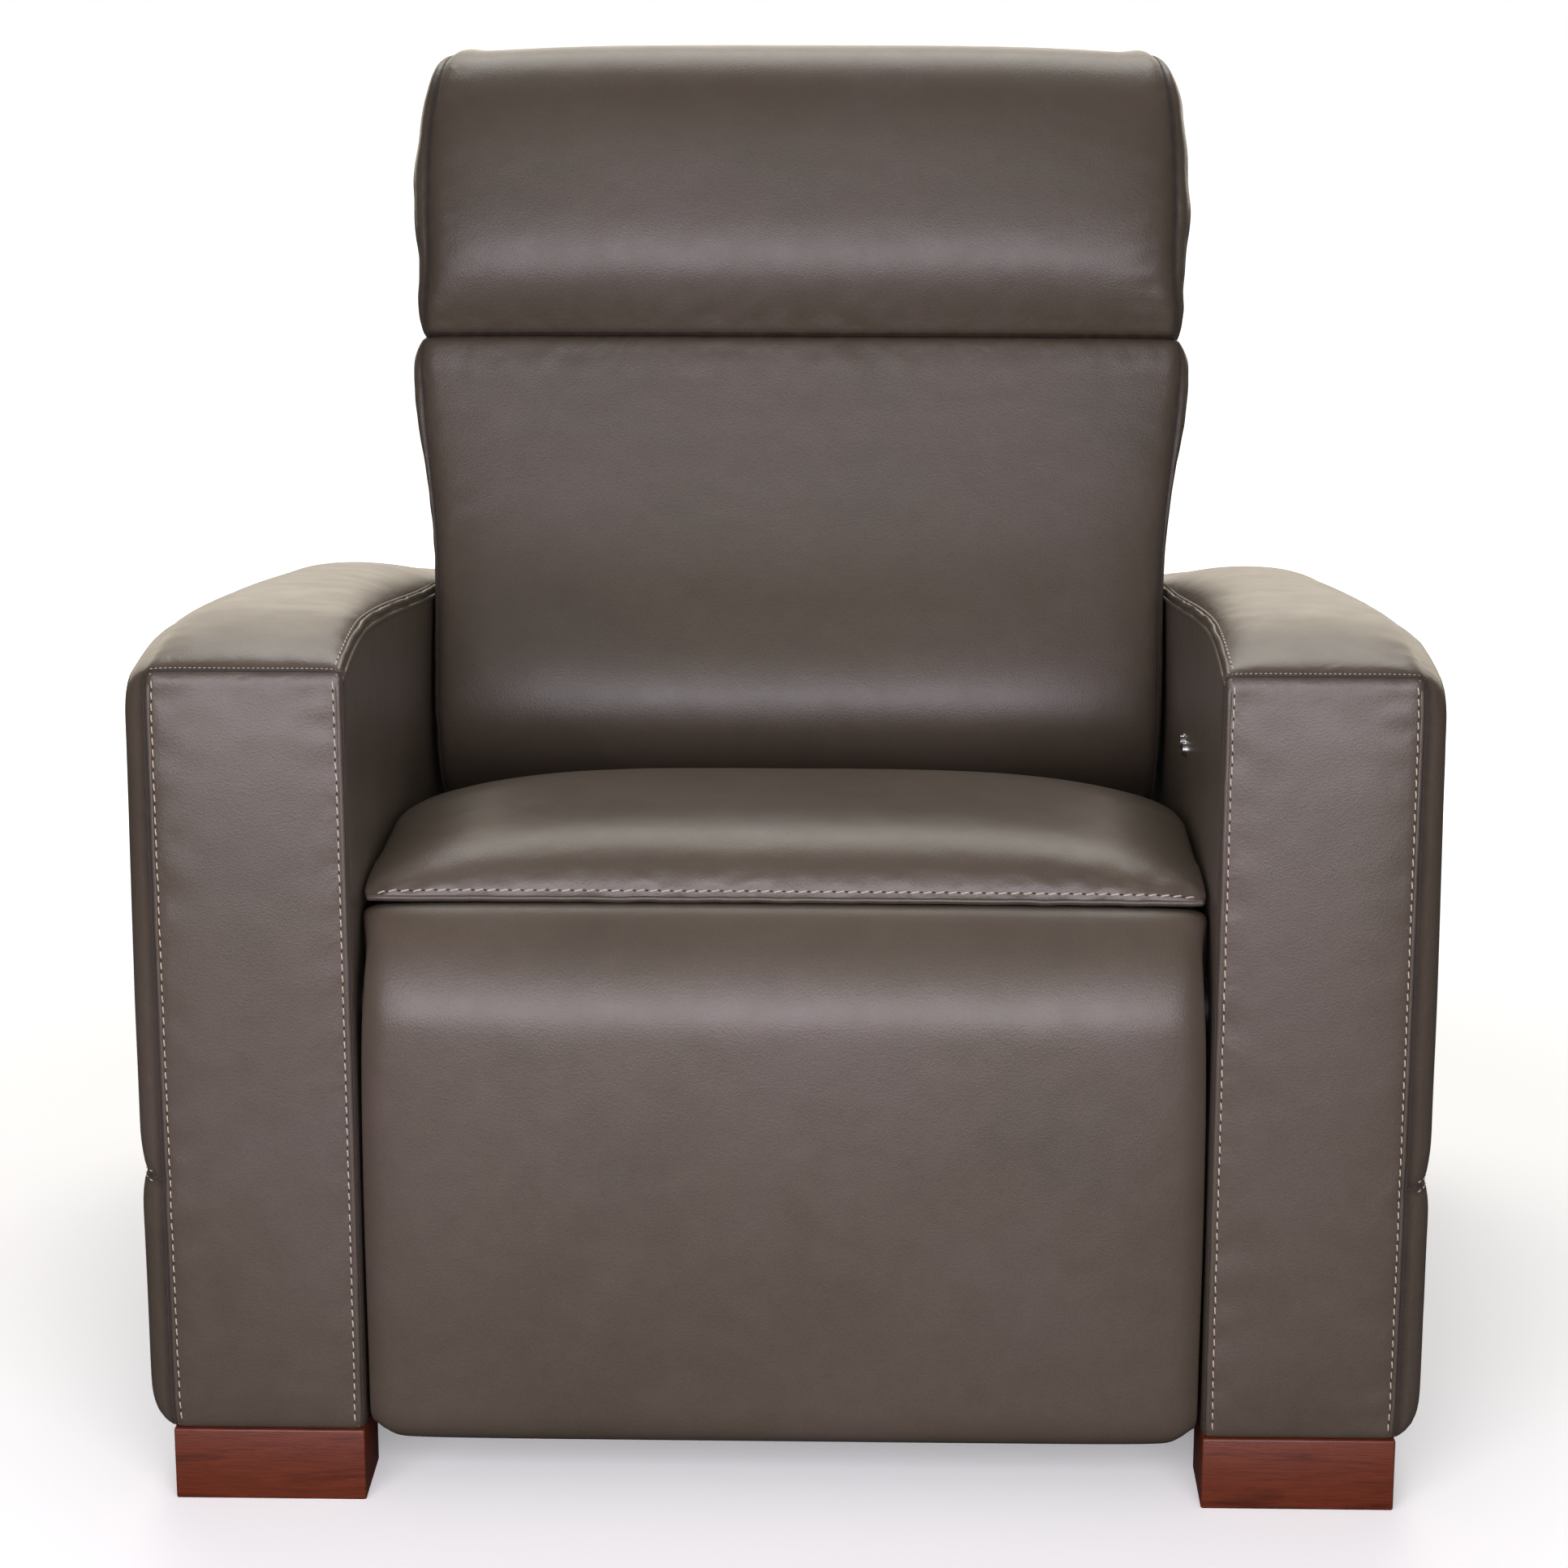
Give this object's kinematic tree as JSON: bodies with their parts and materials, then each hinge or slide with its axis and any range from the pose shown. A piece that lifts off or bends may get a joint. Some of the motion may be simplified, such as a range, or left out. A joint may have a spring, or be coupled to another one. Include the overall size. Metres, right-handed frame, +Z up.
{
  "type": "cinema recliner seat",
  "caption": "High-back cinema recliner with broad arched arms, powered recline and folding leg rest, tilting headrest, stitched leather and block wooden feet.",
  "frame": {"origin": "centre of the overall box, on the floor under the feet", "axes": "+Z up; the seat faces -Y; +X towards the seat's left arm, on the right as a viewer facing the seat sees it"},
  "size_m": [0.976, 0.8838, 1.0708],
  "materials": {
    "leather": "brown taupe upholstery leather, satin, with contrast stitching",
    "plywood": "birch plywood",
    "foot_wood": "cherry-stained hardwood, satin lacquer",
    "black_steel": "black powder-coated steel",
    "zinc_steel": "zinc-plated steel",
    "nylon": "natural nylon",
    "black_plastic": "black ABS",
    "chrome": "polished chrome plate",
    "webbing": "woven jute webbing"
  },
  "bodies": {
    "base": {"left_arm_frame": "plywood", "right_arm_frame": "plywood", "left_arm_pad": "leather", "right_arm_pad": "leather", "front_left_foot": "foot_wood", "front_right_foot": "foot_wood", "rear_left_foot": "foot_wood", "rear_right_foot": "foot_wood", "foot_bolts": "zinc_steel", "left_side_rail": "black_steel", "right_side_rail": "black_steel", "rail_bolts": "zinc_steel", "front_cross_rail": "black_steel", "rear_cross_rail": "black_steel", "seat_side_boards": "plywood", "seat_front_board": "plywood", "seat_rear_board": "plywood", "seat_springs": "zinc_steel", "seat_cushion": "leather", "leg_gearbox": "black_plastic", "leg_motor": "zinc_steel", "leg_sleeve": "zinc_steel", "recline_gearbox": "black_plastic", "recline_motor": "zinc_steel", "recline_sleeve": "zinc_steel", "rear_apron": "leather", "control_box": "black_plastic", "power_inlet": "black_plastic", "switch_housing": "black_plastic", "switch_bezel": "chrome", "leg_bushes": "nylon", "back_bushes": "nylon"},
    "leg_rest": {"leg_shaft": "zinc_steel", "left_leg_arm": "black_steel", "right_leg_arm": "black_steel", "leg_board": "plywood", "leg_screws": "zinc_steel", "leg_crank": "black_steel", "leg_pad": "leather"},
    "back": {"back_shaft": "zinc_steel", "left_back_bracket": "black_steel", "right_back_bracket": "black_steel", "back_bolts": "zinc_steel", "back_stiles": "plywood", "back_rails": "plywood", "back_webbing": "webbing", "back_crank": "black_steel", "back_cushion": "leather", "back_panel": "leather", "left_head_hinge": "black_steel", "right_head_hinge": "black_steel"},
    "head": {"left_head_arm": "black_steel", "right_head_arm": "black_steel", "head_board": "plywood", "headrest": "leather", "head_panel": "leather"},
    "leg_slide": {"leg_rod": "zinc_steel"},
    "recline_slide": {"recline_rod": "zinc_steel"},
    "open_button": {"button_open": "chrome"},
    "close_button": {"button_close": "chrome"}
  },
  "joints": [
    {"name": "leg_rest_hinge", "type": "hinge", "parent": "base", "child": "leg_rest", "pos_m": [0, -0.36189, 0.383], "axis": [-1, 0, 0], "range_deg": [0, 82]},
    {"name": "back_recline", "type": "hinge", "parent": "base", "child": "back", "pos_m": [0, 0.15811, 0.3], "axis": [-1, 0, 0], "range_deg": [0, 35]},
    {"name": "headrest_tilt", "type": "hinge", "parent": "back", "child": "head", "pos_m": [0, 0.19954, 0.82179], "axis": [1, 0, 0], "range_deg": [0, 30]},
    {"name": "leg_rod_slide", "type": "slide", "parent": "base", "child": "leg_slide", "axis": [0, -1, 0], "range_m": [0, 0.06611]},
    {"name": "recline_rod_slide", "type": "slide", "parent": "base", "child": "recline_slide", "axis": [0, -1, 0], "range_m": [0, 0.06064]},
    {"name": "open_button_press", "type": "slide", "parent": "base", "child": "open_button", "axis": [1, 0, 0], "range_m": [0, 0.0015], "stiffness_N_per_m": 400, "springref_m": -0.004},
    {"name": "close_button_press", "type": "slide", "parent": "base", "child": "close_button", "axis": [1, 0, 0], "range_m": [0, 0.0015], "stiffness_N_per_m": 400, "springref_m": -0.004}
  ],
  "couplings": [
    {"joint": "leg_rod_slide", "follows": "leg_rest_hinge", "m_per_rad": 0.045841},
    {"joint": "recline_rod_slide", "follows": "back_recline", "m_per_rad": 0.098452}
  ]
}
